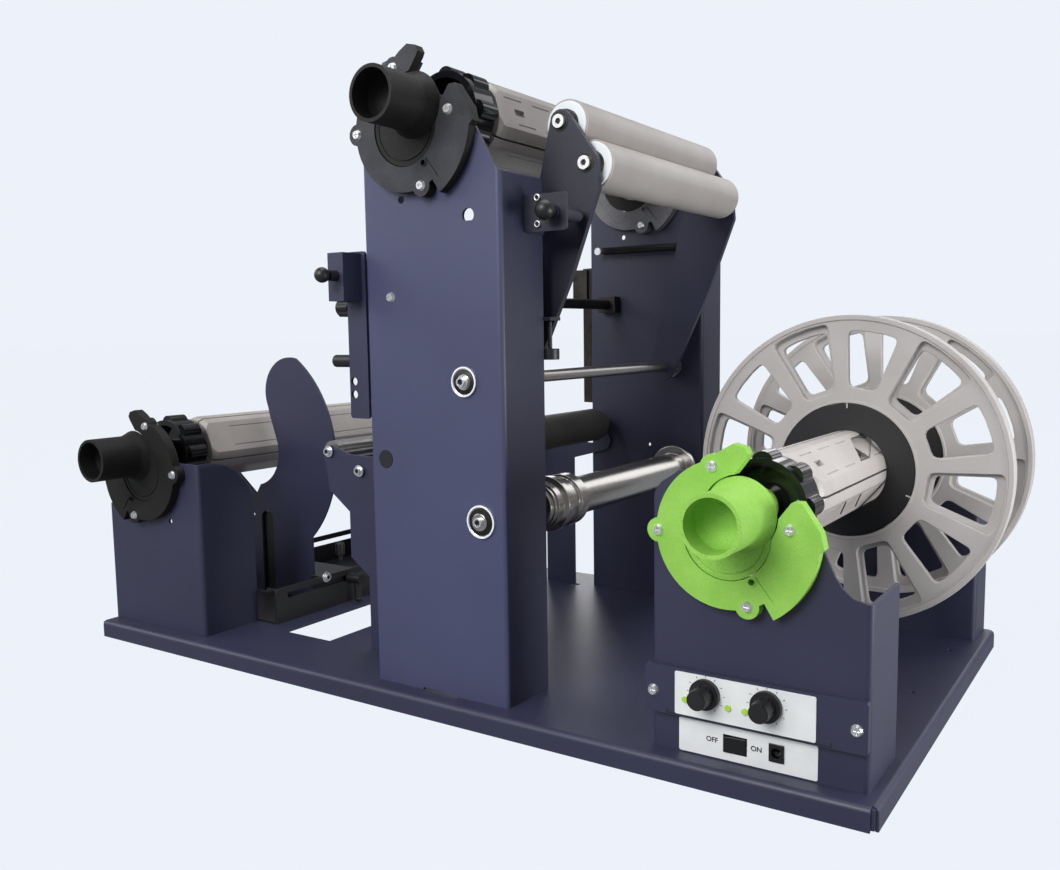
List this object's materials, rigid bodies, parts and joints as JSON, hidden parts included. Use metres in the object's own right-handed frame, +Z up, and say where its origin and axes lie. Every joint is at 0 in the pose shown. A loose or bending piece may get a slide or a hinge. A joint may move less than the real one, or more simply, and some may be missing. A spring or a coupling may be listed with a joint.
{
  "type": "label rewinder",
  "caption": "Table-top label rewinder with two towers, three core holders, a two-roller swing arm, an edge guide and a flanged rewind spool.",
  "frame": {"origin": "centre of the base tray footprint, on the surface it rests on", "axes": "+X along the tray to the rewind spool, +Y away from the operator, +Z up"},
  "size_m": [0.9416, 0.534, 0.6],
  "materials": {
    "navy_paint": "fine textured powder coat",
    "black_paint": "satin black powder coat",
    "black_plastic": "moulded, lightly grained",
    "green_plastic": "printed, fine layer lines",
    "grey_plastic": "moulded, lightly grained",
    "roller_grey": "fine-turned sleeve",
    "white_cap": "moulded gloss",
    "gloss_black": "moulded gloss",
    "steel": "ground and polished",
    "bright_steel": "polished",
    "dark_steel": "black oxide",
    "rubber": "ground rubber sleeve",
    "label": "pale printed panel",
    "board": "green circuit board",
    "lamp": "lit indicator"
  },
  "bodies": {
    "frame": {"base_tray": "navy_paint", "rubber_feet": "rubber", "left_stand": "navy_paint", "right_stand": "navy_paint", "far_stands": "navy_paint", "near_tower": "navy_paint", "far_tower": "navy_paint", "journal_plates": "black_plastic", "rewind_journal_plate": "green_plastic", "journal_discs": "black_plastic", "rewind_handle": "green_plastic", "screws": "bright_steel", "guide_channel": "black_paint", "guide_brackets": "navy_paint", "rail_plate": "navy_paint", "linear_rail": "dark_steel", "cross_bar": "dark_steel", "control_cover": "navy_paint", "control_labels": "label", "dc_inlet": "gloss_black", "indicator_lights": "lamp", "control_board": "board", "gearmotor": "dark_steel", "index_plate": "navy_paint", "shaft_bearings": "bright_steel", "tie_and_post": "bright_steel", "arm_spring": "dark_steel"},
    "unwind_holder": {"unwind_spindle": "steel", "unwind_core": "grey_plastic"},
    "unwind_ring": {"unwind_adjuster": "gloss_black"},
    "upper_holder": {"upper_spindle": "steel", "upper_core": "grey_plastic"},
    "upper_ring": {"upper_adjuster": "gloss_black"},
    "rewind_holder": {"rewind_spindle": "steel", "rewind_core": "grey_plastic", "spool_flanges": "grey_plastic", "hub_rings": "black_plastic", "drive_dog": "steel"},
    "rewind_ring": {"rewind_adjuster": "gloss_black"},
    "waste_winder": {"waste_shaft": "steel"},
    "swing_arm": {"arm_rod": "steel", "swing_arms": "navy_paint", "arm_screws": "bright_steel"},
    "tension_screw": {"tension_knob": "black_plastic"},
    "top_press_roller": {"top_roller": "roller_grey", "top_roller_caps": "white_cap"},
    "front_press_roller": {"front_roller": "roller_grey", "front_roller_caps": "white_cap"},
    "steel_guide_roller": {"steel_roller": "bright_steel"},
    "rubber_guide_roller": {"rubber_roller": "rubber"},
    "speed_dial": {"speed_knob": "black_plastic"},
    "clutch_dial": {"clutch_knob": "black_plastic"},
    "power_switch": {"power_rocker": "gloss_black"},
    "edge_guide_slide": {"edge_guide": "navy_paint", "guide_slide": "black_plastic"},
    "guide_clamp": {"clamp_lever": "black_plastic"},
    "arm_index_pin": {"arm_plunger": "black_plastic"},
    "head_index_pin": {"head_plunger": "black_plastic"},
    "head_star_knob": {"star_knob": "black_plastic"},
    "head_clamp": {"clamp_tip": "black_plastic"}
  },
  "joints": [
    {"name": "unwind_spin", "type": "hinge", "parent": "frame", "child": "unwind_holder", "pos_m": [-0.381, -0.155, 0.2185], "axis": [0, 1, 0], "continuous": true},
    {"name": "unwind_ring_turn", "type": "hinge", "parent": "unwind_holder", "child": "unwind_ring", "pos_m": [-0.381, -0.185, 0.2185], "axis": [0, 1, 0], "range_deg": [0, 120]},
    {"name": "upper_spin", "type": "hinge", "parent": "frame", "child": "upper_holder", "pos_m": [0.0426, -0.155, 0.548], "axis": [0, 1, 0], "continuous": true},
    {"name": "upper_ring_turn", "type": "hinge", "parent": "upper_holder", "child": "upper_ring", "pos_m": [0.0426, -0.185, 0.548], "axis": [0, 1, 0], "range_deg": [0, 120]},
    {"name": "rewind_spin", "type": "hinge", "parent": "frame", "child": "rewind_holder", "pos_m": [0.3436, -0.155, 0.2155], "axis": [0, 1, 0], "continuous": true},
    {"name": "rewind_ring_turn", "type": "hinge", "parent": "rewind_holder", "child": "rewind_ring", "pos_m": [0.3436, -0.185, 0.2155], "axis": [0, 1, 0], "range_deg": [0, 120]},
    {"name": "waste_spin", "type": "hinge", "parent": "frame", "child": "waste_winder", "pos_m": [0.1, -0.145, 0.1855], "axis": [0, 1, 0], "continuous": true},
    {"name": "arm_swing", "type": "hinge", "parent": "frame", "child": "swing_arm", "pos_m": [0.0845, -0.145, 0.3085], "axis": [0, 1, 0], "range_deg": [-6, 30]},
    {"name": "tension_turn", "type": "hinge", "parent": "swing_arm", "child": "tension_screw", "pos_m": [0.126, -0.15, 0.33], "axis": [0, 0, 1], "range_deg": [0, 350]},
    {"name": "top_roller_spin", "type": "hinge", "parent": "swing_arm", "child": "top_press_roller", "pos_m": [0.135, -0.045, 0.5375], "axis": [0, 1, 0], "continuous": true},
    {"name": "front_roller_spin", "type": "hinge", "parent": "swing_arm", "child": "front_press_roller", "pos_m": [0.161, -0.045, 0.499], "axis": [0, 1, 0], "continuous": true},
    {"name": "steel_roller_spin", "type": "hinge", "parent": "frame", "child": "steel_guide_roller", "pos_m": [-0.148, -0.045, 0.228], "axis": [0, 1, 0], "continuous": true},
    {"name": "rubber_roller_spin", "type": "hinge", "parent": "frame", "child": "rubber_guide_roller", "pos_m": [-0.01, -0.045, 0.235], "axis": [0, 1, 0], "continuous": true},
    {"name": "speed_turn", "type": "hinge", "parent": "frame", "child": "speed_dial", "pos_m": [0.316, -0.235, 0.0725], "axis": [0, 1, 0], "range_deg": [0, 300]},
    {"name": "clutch_turn", "type": "hinge", "parent": "frame", "child": "clutch_dial", "pos_m": [0.365, -0.235, 0.0725], "axis": [0, 1, 0], "range_deg": [0, 300]},
    {"name": "power_rock", "type": "hinge", "parent": "frame", "child": "power_switch", "pos_m": [0.3378, -0.2256, 0.0338], "axis": [0, 0, 1], "range_deg": [-12, 0]},
    {"name": "guide_travel", "type": "slide", "parent": "frame", "child": "edge_guide_slide", "axis": [0, 1, 0], "range_m": [-0.055, 0.185]},
    {"name": "guide_clamp_turn", "type": "hinge", "parent": "edge_guide_slide", "child": "guide_clamp", "pos_m": [-0.25, -0.032, 0.05], "axis": [1, 0, 0], "range_deg": [0, 100]},
    {"name": "arm_pin_pull", "type": "slide", "parent": "frame", "child": "arm_index_pin", "axis": [0, 1, 0], "range_m": [-0.008, 0], "stiffness_N_per_m": 150},
    {"name": "head_pin_pull", "type": "slide", "parent": "frame", "child": "head_index_pin", "axis": [0, 1, 0], "range_m": [-0.006, 0], "stiffness_N_per_m": 150},
    {"name": "star_knob_turn", "type": "hinge", "parent": "frame", "child": "head_star_knob", "pos_m": [-0.06, -0.213, 0.377], "axis": [1, 0, 0], "range_deg": [0, 720]},
    {"name": "head_clamp_turn", "type": "hinge", "parent": "frame", "child": "head_clamp", "pos_m": [-0.06, -0.213, 0.326], "axis": [1, 0, 0], "range_deg": [0, 360]}
  ]
}
